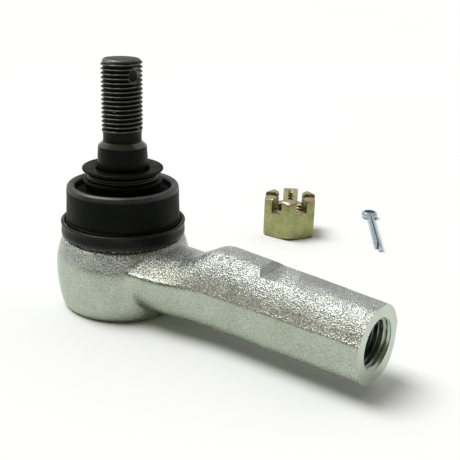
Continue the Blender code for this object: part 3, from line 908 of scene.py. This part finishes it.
def tap_nut(piece):
    """The thread, cut with a tap whose ends are cones, so that both mouths are countersunk."""
    over = 1.0 * MM
    mouth = NUT_THREAD + 0.35 * MM
    sink = mouth - NUT_BORE
    profile = [(mouth + over, -over), (NUT_BORE, sink)]
    profile += thread_rings(NUT_THREAD, sink + 0.05 * MM, NUT_HEIGHT - sink, NUT_PITCH, 12)
    profile += [(NUT_BORE, NUT_HEIGHT - sink + 0.05 * MM), (mouth + over, NUT_HEIGHT + over)]
    tap = turn("nut_tap", profile, sides=64)
    form_thread(tap, NUT_THREAD, NUT_THREAD - NUT_BORE, 0.0, NUT_HEIGHT, NUT_PITCH, 0.6 * MM)
    carve(piece, tap)


def paint_yellow_zinc():
    """Yellow passivated zinc, its olive, pink and gold the film's own colours, with a soft drift like
    oil.
    Which faces get which is painted light: faces that point up are painted lighter, in pink and gold,
    and the flats olive.
    """
    material, tree, shader = new_material("yellow_zinc")
    normal = add_node(tree, "ShaderNodeTexCoord").outputs["Normal"]
    up = add_node(tree, "ShaderNodeSeparateXYZ", {"Vector": normal}).outputs["Z"]
    # Painted light: faces that point up are painted lighter, in pink and gold, than the olive flats.
    up_facing_painted_light = add_ramp(tree, up, ((0.2, (0, 0, 0, 1)), (0.7, (1, 1, 1, 1))))
    drift = add_patches(tree, 4.0 * MM)
    fine = add_patches(tree, 0.8 * MM)
    flats = mix_colours(tree, drift, (0.34, 0.37, 0.16, 1), (0.46, 0.45, 0.23, 1))
    lit_top_colour = mix_colours(tree, drift, (0.56, 0.38, 0.26, 1), (0.56, 0.48, 0.34, 1))
    colour = mix_colours(tree, up_facing_painted_light, flats, lit_top_colour)
    cloudy = mix_colours(tree, 0.25, colour, fine)
    tinted = mix_colours(tree, 0.35, colour, cloudy, "MULTIPLY")
    dress(tree, shader, tinted, remap(tree, fine, low=0.22, high=0.36), 0.92)
    emboss(tree, shader, add_group(tree, GRAIN, Cells=2200.0)["Height"], 0.1, 0.06 * MM)
    return material


nut = draw_nut()
tap_nut(nut)
put(nut, NUT_PLACE, (0, 0, NUT_TURN))
coat(nut, paint_yellow_zinc())
smooth(nut, 30.0)
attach(nut, "nut")
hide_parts("castle_nut")


# ---------------------------------------------------------------------------------------------------
# The cotter pin
# Half-round steel wire bent back on itself round a former: an eye, then two legs with their flat sides
# together, one longer than the other so that they can be opened. Bright zinc plated.

PIN_PLACE = Vector((21.4, 120.2, 1.4)) * MM
PIN_TURN = math.radians(-57)
WIRE_RADIUS = 1.4 * MM
WIRE_THICKNESS = 1.25 * MM
LONG_LEG = 36.0 * MM
SHORT_LEG = 33.4 * MM
EYE_CENTRE = Vector((-3.3, 0.0, 0.0)) * MM
EYE_INNER = 2.0 * MM
LEG_GAP = 0.15 * MM
EYE_FOOT = 5.2 * MM
LEAVING = math.radians(38)


def shoulder(steps=10):
    """From the straight leg out to the eye: a soft curve that ends along the eye's circle."""
    start = Vector((EYE_FOOT, LEG_GAP, 0.0))
    end = EYE_CENTRE + Vector((math.cos(LEAVING), math.sin(LEAVING), 0.0)) * EYE_INNER
    start_pull = start + Vector((-3.4 * MM, 0.0, 0.0))
    end_pull = end + Vector((math.sin(LEAVING), -math.cos(LEAVING), 0.0)) * 2.0 * MM
    points = []
    for step in range(steps + 1):
        t = step / steps
        point = start * (1 - t) ** 3 + start_pull * 3 * t * (1 - t) ** 2
        point += end_pull * 3 * t * t * (1 - t) + end * t ** 3
        points.append(point)
    return points


def wire_path():
    """The flat side's line: down the long leg, round the eye, and back along the short leg."""
    out = shoulder()
    path = [Vector((LONG_LEG, LEG_GAP, 0.0)), Vector((LONG_LEG / 2, LEG_GAP, 0.0))] + out
    turns = 26
    for step in range(1, turns):
        angle = LEAVING + (math.tau - 2 * LEAVING) * step / turns
        path.append(EYE_CENTRE + Vector((math.cos(angle), math.sin(angle), 0.0)) * EYE_INNER)
    path += [Vector((point.x, -point.y, 0.0)) for point in reversed(out)]
    return path + [Vector((SHORT_LEG / 2, -LEG_GAP, 0.0)), Vector((SHORT_LEG, -LEG_GAP, 0.0))]


def bend_wire():
    """Half a disc, drawn out along the path and turned a little at each step."""
    path = wire_path()
    bpy.ops.object.select_all(action="DESELECT")
    bpy.ops.mesh.primitive_circle_add(
        vertices=28, radius=WIRE_RADIUS, fill_type="NGON", location=path[0], rotation=(0, math.pi / 2, 0)
    )
    pin = bpy.context.object
    pin.name = "split_pin"
    bpy.ops.object.transform_apply()
    bpy.ops.object.mode_set(mode="EDIT")
    bpy.ops.mesh.bisect(plane_co=path[0], plane_no=(0, 1, 0), clear_inner=True)
    bpy.ops.mesh.select_all(action="SELECT")
    flatten = WIRE_THICKNESS / WIRE_RADIUS
    bpy.ops.transform.resize(value=(1, flatten, 1), center_override=path[0])
    heading = Vector((-1.0, 0.0, 0.0))
    for index in range(1, len(path)):
        bpy.ops.mesh.extrude_region_move(TRANSFORM_OT_translate={"value": path[index] - path[index - 1]})
        if index < len(path) - 1:
            ahead = (path[index + 1] - path[index - 1]).normalized()
        else:
            ahead = Vector((1.0, 0.0, 0.0))
        bend = math.atan2(heading.cross(ahead).z, heading.dot(ahead))
        bpy.ops.transform.rotate(value=-bend, orient_axis="Z", center_override=path[index])
        heading = ahead
    bpy.ops.mesh.select_all(action="SELECT")
    bpy.ops.mesh.normals_make_consistent(inside=False)
    bpy.ops.object.mode_set(mode="OBJECT")
    apply(pin, "BEVEL", width=0.16 * MM, segments=2, limit_method="ANGLE", angle_limit=math.radians(50))
    return pin


def paint_bright_zinc():
    """Bright zinc on drawn wire: bluish, with faint lines along the wire and tiny pits."""
    material, tree, shader = new_material("bright_zinc")
    drawn = {"Vector": object_place(tree), "Rotation": (0, 0, -PIN_TURN), "Scale": (0.06, 1, 1)}
    lines = add_noise(tree, add_node(tree, "ShaderNodeMapping", drawn).outputs["Vector"], 4200.0)
    patches = add_patches(tree, 2.5 * MM)
    colour = mix_colours(tree, patches, (0.36, 0.43, 0.49, 1), (0.52, 0.59, 0.66, 1))
    dress(tree, shader, colour, remap(tree, lines, low=0.16, high=0.38), 1.0)
    emboss(tree, shader, lines, 0.3, 0.04 * MM)
    return material


pin = bend_wire()
put(pin, PIN_PLACE, (0, 0, PIN_TURN))
coat(pin, paint_bright_zinc())
smooth(pin, 35.0)
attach(pin, "pin")
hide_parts("cotter_pin")
